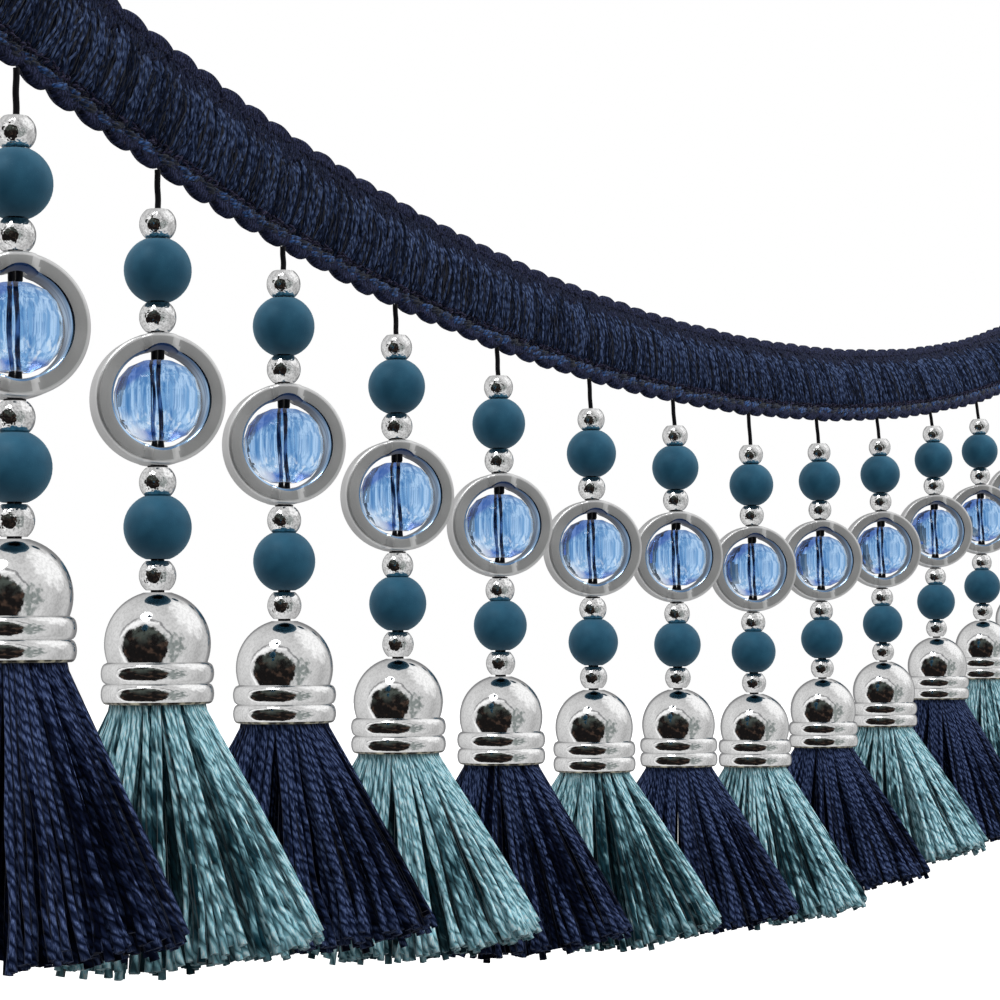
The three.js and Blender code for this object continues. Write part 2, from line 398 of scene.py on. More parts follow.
class Tubes:
    """Closed tubes along many paths of the same number of steps, gathered into one mesh."""

    def __init__(self):
        self.points, self.faces, self.uv, self.tone, self.is_end = [], [], [], [], []
        self.count = 0

    def add(self, paths, radii, sides, facing, tone=0.5, flatness=1.0, seed=None):
        """facing is a direction across each path, flatness the section's depth along it, and seed
        shifts each tube's twist along and round it."""
        paths = np.asarray(paths, float)
        number, steps, _ = paths.shape
        radii = np.broadcast_to(radii, (number, steps))
        tangent = unit(np.gradient(paths, axis=1))
        side = unit(np.cross(tangent, np.broadcast_to(facing, paths.shape)))
        normal = np.cross(side, tangent)
        angle = np.pi + np.arange(sides) * 2 * np.pi / sides
        ring = np.cos(angle)[:, None] * flatness * normal[:, :, None]
        ring = ring + np.sin(angle)[:, None] * side[:, :, None]
        self.points.append((paths[:, :, None] + radii[:, :, None, None] * ring).reshape(-1, 3))

        index = self.count + np.arange(number * steps * sides).reshape(number, steps, sides)
        beside = np.roll(index, -1, axis=2)
        quads = np.stack([index[:, :-1], beside[:, :-1], beside[:, 1:], index[:, 1:]], axis=-1)
        self.faces += quads.reshape(-1, 4).tolist()
        self.faces += index[:, 0, ::-1].tolist()
        self.faces += index[:, -1].tolist()
        self.is_end += [False] * (number * (steps - 1) * sides) + [True] * (2 * number)
        self.count += number * steps * sides

        gaps = np.linalg.norm(np.diff(paths, axis=1), axis=2)
        length = np.concatenate([np.zeros((number, 1)), np.cumsum(gaps, axis=1)], axis=1)
        near = np.broadcast_to(length[:, :-1, None], (number, steps - 1, sides))
        far = np.broadcast_to(length[:, 1:, None], (number, steps - 1, sides))
        left = np.broadcast_to(np.arange(sides) / sides, near.shape)
        right = left + 1 / sides
        shift = np.zeros((2, 1, 1, 1))
        if seed:
            shift = np.random.default_rng(seed).uniform(0, 1, (2, number, 1, 1))
        length = length + UV_SHIFT * shift[0, :, 0]
        near, far = near + UV_SHIFT * shift[0], far + UV_SHIFT * shift[0]
        left, right = left + shift[1], right + shift[1]
        corners = [(left, near), (right, near), (right, far), (left, far)]
        self.uv.append(np.stack([joined(*c) for c in corners], axis=-2).reshape(-1, 2))
        for end in (length[:, :1], length[:, -1:]):
            self.uv.append(joined(np.arange(sides) / sides, end).reshape(-1, 2))

        tone = np.asarray(tone, float)
        tone = tone.reshape(tone.shape + (1,) * (3 - tone.ndim))
        tone = np.broadcast_to(tone, (number, steps, sides))
        self.tone.append(tone.reshape(-1))

    def make(self, name, finish, place=(0, 0, 0)):
        points, uv, tone = (np.concatenate(part) for part in (self.points, self.uv, self.tone))
        piece = make_piece(name, points, self.faces, [finish], place, uv=uv, tone=tone)
        piece.data.polygons.foreach_set("use_smooth", np.logical_not(self.is_end))
        return piece


def turned(profile, angles):
    """Points and faces of a closed surface of revolution round Z, from a closed loop of (radius,
    height) points that goes down its outside."""
    profile = np.asarray(profile, float)
    rows, columns = len(profile), len(angles)
    radius, height = profile[:, 0], profile[:, 1]
    x, y = np.outer(np.cos(angles), radius), np.outer(np.sin(angles), radius)
    points = joined(x, y, height).reshape(-1, 3)
    index = np.arange(rows * columns).reshape(columns, rows)
    below = np.roll(index, -1, axis=1)
    beside = np.roll(index, -1, axis=0)
    across = np.roll(below, -1, axis=0)
    faces = np.stack([index, below, across, beside], axis=-1).reshape(-1, 4)
    return points, faces.tolist()


def around(count):
    return np.arange(count) * 2 * np.pi / count


def arc(centre, radius, start, end, count):
    """(radius, height) points on an arc, with angles in degrees from the top and clockwise."""
    angles = np.radians(np.linspace(start, end, count))
    return [(centre[0] + radius * math.sin(a), centre[1] + radius * math.cos(a)) for a in angles]


# Finishes


def twist_of(n, plies, pitch):
    """How far a point is out of the groove between two plies, from 0 to 1, its UV vector, and a
    vector that runs across and along the plies."""
    uv = n.place("UV")
    split = n.split(uv)
    wobble = n.noise(uv, (0.8, 0.4, 1.0), 1.0)
    turn = n.scaled(split[0], float(plies), n.times(wobble, 1.6))
    turn = n.plus(turn, n.math("DIVIDE", split[1], pitch / plies))
    ply = n.size_of(n.math("SINE", n.times(turn, math.pi)))
    return ply, uv, n.add("ShaderNodeCombineXYZ", {0: turn, 1: split[1]}).outputs[0]


def yarn_finish(
    name,
    shade,
    light,
    glint,
    twist,
    gloss,
    gleam,
    mottle=(0.8, 0.35, 0.9),
    glints=0.6,
    crown=0.0,
):
    """Twisted yarn: painted darker in its grooves as shade, lighter with its tone, with painted
    glints on its plies, and fibrous. twist is its plies, their pitch and the depth of their
    grooves, gloss its roughness and specular level, gleam the colour of its highlights, mottle the
    scales across and along the plies and the amount of its light and dark, and crown how much
    lighter it is painted next to its root, as painted light."""
    plies, pitch, depth = twist
    roughness, specular = gloss
    n = Finish(name)
    ply, uv, ply_place = twist_of(n, plies, pitch)
    tone = n.add("ShaderNodeAttribute", attribute_name="tone").outputs["Fac"]
    fibre = n.noise(uv, (22.0, 1.2, 1.0), 3.0, 0.6)
    patch = n.noise(ply_place, (mottle[0], mottle[1], 1.0))
    patch = n.scaled(patch, mottle[2], -0.5 * mottle[2] + 0.1)
    lightness = n.scaled(tone, 0.8, patch)
    along = n.split(uv)[1]
    # Painted light: the yarn is painted lighter next to its root, by crown
    painted_root_light = n.rest_of(n.ramp(along, 4.0, 17.0))
    lightness = n.scaled(painted_root_light, crown, lightness)
    colour = n.mix(n.ramp(lightness, 0.12, 0.75), shade, light)
    # Painted highlights: glints on the crests of the plies
    shine = n.times(n.ramp(fibre, 0.4, 0.62), n.ramp(ply, 0.4, 0.95))
    shine = n.times(shine, n.ramp(lightness, 0.3, 0.75))
    colour = n.mix(n.times(shine, glints), colour, glint)
    # Painted shade in the grooves between the plies
    groove = n.scaled(n.math("POWER", ply, 0.8), 0.85, 0.15)
    groove = n.even(groove)
    height = n.scaled(fibre, 0.3, ply)
    return n.made(
        Base_Color=n.mix(1.0, colour, groove, "MULTIPLY"),
        Roughness=roughness,
        Specular_IOR_Level=specular,
        Specular_Tint=gleam,
        Normal=n.bump(height, depth, 0.8),
    )


def cord_finish():
    """Black waxed cord, its strands painted paler, bluer and broken up inside the crystal: painted
    light where they are seen through it.
    """
    n = Finish("black_cord")
    place = n.place("Object")
    height = n.split(place)[2]
    inside = n.size_of(n.plus(height, CRYSTAL_DROP * MM))
    inside = n.math("LESS_THAN", inside, CRYSTAL_HALF_HEIGHT * MM)
    broken = n.ramp(n.noise(place, (900.0, 900.0, 380.0), 3.0), 0.42, 0.62)
    fibre = n.noise(place, (3000.0, 3000.0, 700.0))
    wax = n.mix(fibre, (0.002, 0.002, 0.003), (0.012, 0.012, 0.015))
    # Painted light: paler, bluer strands inside the crystal
    pale = n.mix(broken, (0.012, 0.018, 0.045), (0.16, 0.25, 0.42))
    return n.made(
        Base_Color=n.mix(inside, wax, pale),
        Roughness=0.45,
        Specular_IOR_Level=0.08,
        Normal=n.bump(fibre, 0.05, 0.6),
    )


def silver_finish(name, wave_scale, wave_depth, dull=0.76):
    """Bright plating over a moulded piece, with waves, and fine pits."""
    n = Finish(name)
    place = n.place("Object")
    wave = n.noise(place, wave_scale)
    pits = n.noise(place, 2600.0)
    tint = n.mix(n.ramp(pits, 0.3, 0.62), grey(dull), grey(0.92))
    height = n.scaled(pits, 0.02, wave)
    return n.made(
        Base_Color=tint,
        Metallic=1.0,
        Roughness=n.scaled(pits, 0.06, 0.03),
        Normal=n.bump(height, wave_depth, 0.6),
    )


def lip_shade_finish():
    """Painted shade and painted reflection of the yarn on a cap's lip: its plating, painted darker
    and warmer next to the yarn.
    """
    n = Finish("lip_painted_shade")
    place = n.place("Object")
    # Painted reflection: warm spots of the yarn's reflection on dark plating
    painted_reflection_spots = n.noise(place, 700.0, 3.0)
    tint = n.mix(n.ramp(painted_reflection_spots, 0.4, 0.65), (0.02, 0.018, 0.012), (0.42, 0.40, 0.30))
    return n.made(Base_Color=tint, Metallic=1.0, Roughness=0.25)


def hole_finish():
    """The dull inside of a bead's hole, painted near black as shade."""
    n = Finish("bead_hole")
    place = n.place("Object")
    dust = n.noise(place, 1500.0)
    colour = n.mix(dust, (0.004, 0.004, 0.005), (0.02, 0.02, 0.022))
    return n.made(Base_Color=colour, Roughness=0.8, Specular_IOR_Level=0.1)


def teal_finish():
    """Rubber-coated bead: deep teal, dusty at its edges, with a fine grain."""
    n = Finish("rubber_teal")
    place = n.place("Object")
    grain = n.noise(place, 5200.0, 3.0, 0.6)
    cloud = n.noise(place, 260.0)
    colour = n.mix(n.ramp(cloud, 0.3, 0.7), (0.014, 0.080, 0.142), (0.024, 0.114, 0.192))
    colour = n.mix(n.times(n.ramp(grain, 0.6, 0.75), 0.25), colour, (0.08, 0.21, 0.3))
    return n.made(
        Base_Color=colour,
        Roughness=0.5,
        Specular_IOR_Level=0.25,
        Specular_Tint=(0.7, 0.9, 1.0),
        Sheen_Weight=0.35,
        Sheen_Roughness=0.4,
        Sheen_Tint=(0.4, 0.72, 0.9),
        Normal=n.bump(grain, 0.035, 0.6),
    )


def ring_finish(name, dull, bright, roughness):
    """Satin silver-grey, blasted to a fine grain."""
    n = Finish(name)
    place = n.place("Object")
    grain = n.noise(place, 3800.0, 3.0, 0.6)
    cloud = n.noise(place, 150.0)
    return n.made(
        Base_Color=n.mix(n.ramp(cloud, 0.3, 0.72), grey(dull), grey(bright)),
        Metallic=0.85,
        Roughness=n.scaled(grain, 0.16, roughness),
        Specular_IOR_Level=0.4,
        Normal=n.bump(grain, 0.02, 0.5),
    )


def bore_finish(name, shade, light):
    """The ring's polished inside, painted blue as a reflection of the crystal it faces, and painted
    darker towards its top as shade.
    """
    n = Finish(name)
    place = n.place("Object")
    wave = n.noise(place, (900.0, 160.0, 160.0))
    height = n.split(place)[2]
    # Painted shade: darker blue towards the top of the bore
    painted_shade_near_top = n.times(n.ramp(height, 0.15 * RING_BORE * MM, 0.93 * RING_BORE * MM), 0.85)
    tint = n.mix(painted_shade_near_top, n.mix(n.ramp(wave, 0.35, 0.65), shade, light), (0.014, 0.036, 0.11))
    return n.made(
        Base_Color=tint,
        Metallic=1.0,
        Roughness=0.16,
        Normal=n.bump(wave, 0.06, 0.4),
    )


def crystal_finish():
    """Blue acrylic, streaked along its height, with painted shade that makes it deeper at its ends
    and
    over one shoulder, and painted light: paler low on one side, with white glints low down. Its
    places are in metres, as a shader reads them."""
    n = Finish("blue_crystal")
    place = n.place("Object")
    split = n.split(place)
    side, up = split[1], split[2]
    # Painted shade: deeper blue at the ends and over one shoulder
    shoulder = n.scaled(side, 0.55, n.times(up, 0.75))
    foot = n.scaled(side, 0.6, n.times(up, -0.6))
    top_end = n.times(n.ramp(up, 0.0038, 0.0058), 0.5)
    low_end = n.ramp(n.times(up, -1.0), 0.0040, 0.0050)
    low_end = n.times(low_end, n.ramp(n.size_of(side), 0.0007, 0.0016))
    deep = n.math("MAXIMUM", n.math("MAXIMUM", top_end, low_end), n.ramp(shoulder, 0.0038, 0.0046))
    streak = n.noise(place, (1100.0, 1100.0, 60.0), 3.0, 0.65)
    wave = n.noise(place, (420.0, 420.0, 60.0), 1.0)
    # Painted highlights: white glints low down
    painted_glint = n.ramp(n.noise(place, (900.0, 900.0, 260.0)), 0.56, 0.66)
    painted_glint = n.times(painted_glint, n.ramp(n.times(up, -1.0), -0.001, 0.003))
    tint = n.mix(n.ramp(streak, 0.42, 0.58), (0.07, 0.22, 0.50), (0.42, 0.64, 0.92))
    tint = n.mix(n.times(painted_glint, 0.8), tint, (0.92, 0.97, 1.0))
    tint = n.mix(n.times(deep, 0.92), tint, (0.010, 0.05, 0.34))
    # Painted light: paler low on one side
    tint = n.mix(n.times(n.ramp(foot, 0.0042, 0.0054), 0.7), tint, (0.80, 0.90, 1.0))
    return n.made(
        Base_Color=tint,
        Roughness=0.02,
        IOR=1.27,
        Transmission_Weight=1.0,
        Normal=n.bump(wave, 0.25, 0.6),
    )


def clear_finish():
    """The crystal's polished bore, wetted out so that it doesn't show."""
    n = Finish("clear_bore")
    return n.made(
        Base_Color=grey(1.0),
        Roughness=0.0,
        IOR=1.0,
        Specular_IOR_Level=0.0,
        Transmission_Weight=1.0,
    )


def cloth_finish(name, dark, light, fluff, speck_share):
    """Close fuzzy stitches, with a few warm specks."""
    n = Finish(name)
    uv = n.place("UV")
    split = n.split(uv)
    shift = n.scaled(n.noise(uv, (0.5, 0.8, 1.0)), 2.4, split[0])
    rib = n.size_of(n.math("SINE", n.times(shift, math.pi / 0.8)))
    cloud = n.noise(uv, (0.6, 0.9, 1.0), 3.0)
    fuzz = n.noise(uv, (3.2, 2.2, 1.0), 4.0, 0.7)
    speck = n.noise(uv, (1.1, 1.4, 1.0))
    colour = n.mix(n.ramp(cloud, 0.3, 0.7), dark, light)
    colour = n.mix(n.times(n.ramp(fuzz, 0.5, 0.72), 0.7), colour, fluff)
    warm = n.times(n.ramp(speck, 0.67, 0.76), speck_share)
    colour = n.mix(warm, colour, (0.11, 0.085, 0.07))
    groove = n.scaled(n.times(rib, n.ramp(fuzz, 0.3, 0.55)), 0.75, 0.25)
    shade = n.even(groove)
    height = n.scaled(fuzz, 1.2, rib)
    return n.made(
        Base_Color=n.mix(1.0, colour, shade, "MULTIPLY"),
        Roughness=0.7,
        Specular_IOR_Level=0.08,
        Specular_Tint=(0.6, 0.7, 1.0),
        Normal=n.bump(height, 0.2, 0.9),
    )


def floor_finish():
    n = Finish("pale_floor")
    place = n.place("Object")
    cloud = n.noise(place, 1.3)
    colour = n.mix(n.ramp(cloud, 0.3, 0.7), grey(0.93), grey(0.96))
    return n.made(
        Base_Color=colour,
        Roughness=0.8,
        Specular_IOR_Level=0.2,
        Emission_Color=(1, 1, 1),
        Emission_Strength=0.6,
    )


# Heading


def swag_at(x):
    """The swag's top edge at x, and its directions along, down and out of the front."""
    u = x / ROW_HALF
    forward = -END_FORWARD * u**2 + PLAN_SKEW * (u**3 - u)
    rise = END_RISE * u**2 + END_TILT * u + END_TWIST * u**3
    edge = joined(x, forward, rise)
    forward_slope = -2 * END_FORWARD * u + PLAN_SKEW * (3 * u**2 - 1)
    rise_slope = 2 * END_RISE * u + END_TILT + 3 * END_TWIST * u**2
    along = unit(joined(ROW_HALF, forward_slope, rise_slope))
    lean = np.radians(lerp(LEAN_AT_START, LEAN_AT_END, (u + 1) / 2))[..., None]
    front = unit(joined(along[..., 1], -along[..., 0], 0))
    down = front * np.sin(lean) - np.array([0, 0, 1.0]) * np.cos(lean)
    out = unit(np.cross(down, along))
    return edge, along, down, out


def on_band(x, depth, outward):
    x, depth, outward = np.broadcast_arrays(*(np.asarray(a, float) for a in (x, depth, outward)))
    edge, _, down, out = swag_at(x)
    return edge + down * depth[..., None] + out * outward[..., None]


def along_band(count, margin=0.0):
    return np.linspace(-BAND_HALF + margin, BAND_HALF - margin, count)


def spread_out(rng, count, margin, jitter):
    """Places along the band, evenly spread but for the jitter."""
    return along_band(count, margin) + rng.normal(0, jitter, count)


def within_ends(x, margin=0.5):
    return np.clip(x, -BAND_HALF + margin, BAND_HALF - margin)


GROUND_FROM = 1.9
GROUND_TO = 18.3
GROUND_BACK = -0.7
GROUND_FRONT = 0.5
GROUND_STEP = 1.9
THREADS_FROM = (3.4, 6.2)
THREADS_FIRST = 4.7
THREADS_TO = 16.6
THREAD_LEAN = (-4.2, -1.9, -0.5)
TAPE_FROM = 1.6
TAPE_TO = 6.2
TAPE_FRONT = 0.95
TAPE_STEP = 1.2
SLAB_ROWS = 9
TAPE_STITCH_ROWS = (2.5, 3.5, 4.6, 5.6)
TAPE_STITCH_PITCH = 1.53


def strip(name, x, depth, outward, look):
    """A closed strip of cloth along the band, from loops of depths and outward places at each x."""
    count, rows = np.broadcast_shapes((len(x), 1), depth.shape, outward.shape)
    depth = np.broadcast_to(depth, (count, rows))
    points = on_band(x[:, None], depth, outward).reshape(-1, 3)
    index = np.arange(count * rows).reshape(count, rows)
    nearer = np.roll(index, -1, axis=1)
    quads = np.stack([index[:-1], nearer[:-1], nearer[1:], index[1:]], axis=-1).reshape(-1, 4)
    faces = quads.tolist() + [index[0][::-1].tolist(), index[-1].tolist()]
    place = joined(x[:, None] + BAND_HALF, depth).reshape(-1, 2)
    uv = np.concatenate([place[np.asarray(face)] for face in faces])
    return make_piece(name, points, faces, [look], uv=uv)


def slab(name, depths, back, front, step, look):
    """A flat strip of cloth along the band: front and back are outward places for each depth."""
    x = along_band(round(2 * BAND_HALF / step) + 1)
    loop_depth = np.concatenate([depths, depths[::-1]])[None]
    loop_out = np.concatenate([front, back[::-1]])[None]
    return on_heading(strip(name, x, loop_depth, loop_out, look))


def make_ground(look):
    depths = np.linspace(GROUND_FROM, GROUND_TO, SLAB_ROWS)
    back, front = np.full(SLAB_ROWS, GROUND_BACK), np.full(SLAB_ROWS, GROUND_FRONT)
    return slab("heading_ground", depths, back, front, GROUND_STEP, look)


def make_tape(look):
    share = np.linspace(0, 1, SLAB_ROWS)
    back = np.full(SLAB_ROWS, GROUND_FRONT + 0.02)
    front = GROUND_FRONT + 0.06 + (TAPE_FRONT - GROUND_FRONT) * np.sin(np.pi * share) ** 0.5
    return slab("heading_tape", lerp(TAPE_FROM, TAPE_TO, share), back, front, TAPE_STEP, look)


def ripple_of(rng, x, waves):
    """A sum of waves along the band, for (wavelength, amount) pairs, each at a drawn phase."""
    return sum(
        amount * np.sin(2 * np.pi * x / wavelength + rng.uniform(0, 2 * np.pi))
        for wavelength, amount in waves
    )


def lay(tubes, middle, x, depth, lift, thick, sides, tone, seed, flatness=1.0):
    """Lays small tubes on the band, each facing out of it at its middle."""
    facing = swag_at(middle)[3][:, None]
    tubes.add(on_band(x, depth, lift), thick, sides, facing, tone, flatness, seed)


def on_heading(piece, node="heading_band"):
    return dress(piece, "band_yarn", node)


def thread_layer(tubes, rng, count, sides, steps, radius, outward, wander, tones):
    """Loose threads down the band, drawn together in clumps and leaning with the left end."""
    each = (count, 1)
    start = spread_out(rng, count, 0.4, 0.12)
    share = np.linspace(0, 1, steps)
    lean = np.interp(start, [-BAND_HALF, 0, BAND_HALF], THREAD_LEAN)
    x = start[:, None] + lean[:, None] * (share - 0.5)
    middle = np.sin(np.pi * share)
    drift = np.zeros_like(x)
    for wavelength, amount in ((2.3, 0.3), (4.1, 0.5), (9.0, 0.8)):
        phase = rng.uniform(0, 2 * np.pi)
        drift += amount * np.sin(2 * np.pi * x / wavelength + phase + 1.8 * share)
    x += wander * drift * middle
    ripple = rng.uniform(0.08, 0.34, each)
    turns = rng.uniform(1.2, 3.4, each)
    x += ripple * np.sin(2 * np.pi * (turns * share + rng.uniform(0, 1, each)))
    x = within_ends(x, 0.3)
    clump = ripple_of(rng, start, ((3.4, 0.5), (7.9, 0.5)))
    bulge = np.clip(0.45 + 0.35 * clump + rng.normal(0, 0.18, count), 0.05, 1.0)[:, None]
    lift = outward + bulge * middle + rng.normal(0, 0.08, (count, steps))
    tuck = np.where((share == 0) | (share == 1), -0.5, 0)
    first = rng.normal(THREADS_FIRST, 0.6, count) + ripple_of(rng, start, ((11.0, 0.6),))
    depth = lerp(np.clip(first, *THREADS_FROM)[:, None], THREADS_TO, share)
    # Painted light and shade: a thread is lighter where its clump bulges out, darker between clumps
    # and lighter towards its top
    tone = rng.normal(tones[0], tones[1], count) + 0.16 * clump
    tone = np.clip(tone[:, None] + 0.22 * (0.45 - share), 0, 1)
    thick = radius * rng.uniform(0.8, 1.25, each)
    lay(tubes, start, x, depth, lift + tuck, thick, sides, tone, count)


def make_threads(look):
    rng = np.random.default_rng(31)
    tubes = Tubes()
    # The back layer's low tone is painted shade under the front layer
    thread_layer(tubes, rng, 1000, 3, 7, 0.3, GROUND_FRONT + 0.25, 0.5, (0.12, 0.1))
    thread_layer(tubes, rng, 1180, 4, 9, 0.21, GROUND_FRONT + 0.75, 1.0, (0.45, 0.28))
    return on_heading(tubes.make("heading_threads", look))


def make_heading_stitches(look):
    """Short crossed stitches over the tape, in rows that are a little uneven."""
    rng = np.random.default_rng(37)
    tubes = Tubes()
    share = np.linspace(-1, 1, 4)
    count = round(2 * BAND_HALF / TAPE_STITCH_PITCH)
    each = (count, 1)
    for row, depth in enumerate(TAPE_STITCH_ROWS):
        middle = spread_out(rng, count, 1.6, 0.25)
        slant = np.where(np.arange(count) % 2 == row % 2, 1, -1) * rng.uniform(0.4, 1.4, count)
        x = middle[:, None] + rng.uniform(0.5, 1.0, each) * share
        down = depth + rng.normal(0, 0.26, each) + 0.6 * slant[:, None] * share
        crown = 0.94 - 0.035 * (depth - 3.6) ** 2
        lift = crown + rng.normal(0, 0.07, each) - 0.4 * share**2
        tone = np.clip(rng.normal(0.35, 0.28, count), 0, 1)
        thick = rng.uniform(0.18, 0.32, each)
        lay(tubes, middle, x, down, lift, thick, 4, tone, 11 + row)
    return on_heading(tubes.make("heading_stitches", look))


CHAIN_DEPTH = 17.35
CHAIN_LIFT = 1.12
CHAIN_STRANDS = (-1.5, -0.5, 0.5, 1.5)


def make_chain_cord(look):
    """The loose chain above the lower edge: flat slanting lumps of floss, two to a scallop."""
    rng = np.random.default_rng(47)
    tubes = Tubes()
    pitch = SCALLOP / 2
    count = round(2 * BAND_HALF / pitch)
    each = (count, 1)
    middle = -BAND_HALF + pitch * (np.arange(count) + 0.5) + rng.normal(0, 0.25, count)
    share = np.linspace(-1, 1, 6)
    # Each lump's tone, drawn at random; the lighter lumps are painted glints
    lump_tone_and_glint = np.clip(rng.normal(0.42, 0.25, count), 0, 1)
    for strand in CHAIN_STRANDS:
        reach = pitch * rng.uniform(0.42, 0.8, each)
        start = middle + rng.normal(0, 0.45, count)
        x = within_ends(start[:, None] + reach * share)
        down = CHAIN_DEPTH + 0.36 * strand - rng.uniform(0.25, 0.75, each) * share
        down = down + rng.normal(0, 0.12, each)
        lift = CHAIN_LIFT - 0.07 * strand**2 - 0.5 * share**2 + rng.normal(0, 0.08, each)
        thick = rng.uniform(0.26, 0.42, each) * (1 - 0.5 * np.abs(share) ** 3)
        tone = np.clip(lump_tone_and_glint + rng.normal(0, 0.2, count), 0, 1)
        lay(tubes, middle, x, down, lift, thick, 5, tone, 61 + round(2 * strand), 0.6)
    return on_heading(tubes.make("lower_chain_cord", look), "bottom_chain")


def edge_wave(x, salt):
    """How far the scalloped edge stands out at x, from 0 to about 1, with uneven scallops."""
    uneven = 1 + 0.14 * np.sin(x / 5.1 + salt) * np.sin(x / 13.7 + 2 * salt)
    return np.abs(np.sin(np.pi * x / SCALLOP)) ** 0.75 * uneven


# An edge's inner depth, its outer one between scallops, how far these stand out, the outward place
# of its middle, and how much thicker it is in its scallops
LOWER_EDGE = (16.7, 18.5, 1.35, 0.1, 0.12)
UPPER_EDGE = (3.0, 1.3, -1.15, 0.15, 0.1)
EDGE_HALF_THICKNESS = 0.85
LOWER_STITCHES = ((107, 17.9, 0.88), (108, 18.5, 0.88))
UPPER_STITCHES = ((97, 1.7, 0.98), (98, 2.5, 1.02))
BINDING_RADIUS = 0.2


def scalloped(name, inner_depth, edge_depth, depth_of_scallop, middle, swell, look):
    """A soft strip from its inner depth to its scalloped edge, thicker out in its scallops."""
    x = along_band(round(2 * BAND_HALF / SCALLOP) * 10 + 1, 0.6)
    share = np.linspace(0, 1, 9)
    wave = edge_wave(x, inner_depth)[:, None]
    depth = lerp(inner_depth, edge_depth + depth_of_scallop * wave, share)
    bulge = (1 - np.abs(2 * share - 1) ** 5) ** 0.5 * (EDGE_HALF_THICKNESS + swell * wave * share)
    loop_depth = np.concatenate([depth, depth[:, ::-1]], axis=1)
    loop_out = np.concatenate([middle + bulge, (middle - bulge)[:, ::-1]], axis=1)
    return strip(name, x, loop_depth, loop_out, look)


def short_stitches(tubes, seed, depth, outward):
    """A row of small slanting stitches that bind an edge."""
    rng = np.random.default_rng(seed)
    count = round(2 * BAND_HALF / (SCALLOP / 4))
    each = (count, 1)
    middle = spread_out(rng, count, 1.2, 0.35)
    share = np.linspace(-1, 1, 4)
    x = within_ends(middle[:, None] + rng.uniform(0.35, 0.8, each) * share)
    down = depth + rng.uniform(-0.4, 0.5, each) * share
    down = down + rng.uniform(-0.2, 0.2, each)
    lift = outward - 0.3 * share**2 + rng.normal(0, 0.05, each)
    tone = np.clip(rng.normal(0.45, 0.3, count), 0, 1)
    lay(tubes, middle, x, down, lift, BINDING_RADIUS, 4, tone, seed, 0.7)


def make_edge(side, chain, shape, rows, look, yarn):
    """A scalloped edge and the rows of stitches that bind it, as (seed, depth, outward) rows."""
    edge = scalloped(f"{side}_scallops", *shape, look)
    tubes = Tubes()
    for seed, depth, outward in rows:
        short_stitches(tubes, seed, depth, outward)
    stitches = tubes.make(f"{side}_stitches", yarn)
    return [on_heading(edge, chain), on_heading(stitches, chain)]


LINE_DEPTH = 16.15
LINE_LIFT = 1.4
LINE_RADIUS = 0.19
LINE_PITCH = 1.5


def make_stitch_line(look):
    """The thin line of stitching that binds the threads down above the chain."""
    rng = np.random.default_rng(53)
    tubes = Tubes()
    count = round(2 * BAND_HALF / LINE_PITCH)
    each = (count, 1)
    middle = spread_out(rng, count, 1.2, 0.3)
    share = np.linspace(-1, 1, 4)
    for strand in (-1, 1):
        x = within_ends(middle[:, None] + rng.uniform(0.5, 0.95, each) * share)
        slant = rng.normal(0.3, 0.25, each)
        down = LINE_DEPTH + strand * (0.15 - slant * share) + rng.normal(0, 0.14, each)
        lift = LINE_LIFT - 0.35 * share**2 + rng.normal(0, 0.08, each)
        tone = np.clip(rng.normal(0.45, 0.28, count), 0, 1)
        lay(tubes, middle, x, down, lift, LINE_RADIUS, 4, tone, 57 + strand)
    return on_heading(tubes.make("stitch_line", look))


# Pendants, with heights from the ring's centre

SILVER_HEIGHTS = (26.05, 12.2, -12.2, -25.9)
SILVER_RADIUS = 2.75
SILVER_HOLE = 1.6
SILVER_BORE = 1.2
SILVER_ROWS = 13
SILVER_SEGMENTS = 30
TEAL_HEIGHTS = (19.2, -18.8)
TEAL_RADIUS = 5.0
TEAL_HOLE_TOP = 2.0
TEAL_HOLE_BOTTOM = 1.65
TEAL_BORE = 1.2
TEAL_ROWS = 19
TEAL_SEGMENTS = 40
CORD_RADIUS = 0.45
CORD_FROM = (BAND_HEIGHT - 1.4, -0.2)
CORD_TO = SILVER_HEIGHTS[0] + 1.2
STRAND_RADIUS = 0.53
STRAND_FROM = 27.0
STRAND_TO = -32.4
STRAND_APART = 0.49

# Each strand's side, its places at the crystal's top and bottom, and its radius in there
STRANDS = ((-1, -0.72, -0.36, 0.2), (1, 0.02, 0.52, 0.3))
# A black disc over and under the ring, put where shade falls between bead and ring
SHADE_DISC_HEIGHT = 9.86
SHADE_DISC_HALF = 0.12
SHADE_DISC_RADIUS = 1.5


def bead_profile(radius, top_hole, bottom_hole, bore, rows):
    """A ball cut by its holes, whose mouths are rounded into a narrower bore."""
    start = math.degrees(math.asin((top_hole + 0.12) / radius))
    end = 180 - math.degrees(math.asin((bottom_hole + 0.12) / radius))
    ball = arc((0, 0), radius, start, end, rows)
    top, bottom = ball[0][1], ball[-1][1]
    return [
        (bore, top - 0.75),
        (max(bore, top_hole - 0.3), top - 0.32),
        (top_hole, top - 0.06),
        *ball,
        (bottom_hole, bottom + 0.06),
        (max(bore, bottom_hole - 0.3), bottom + 0.32),
        (bore, bottom + 0.75),
    ]


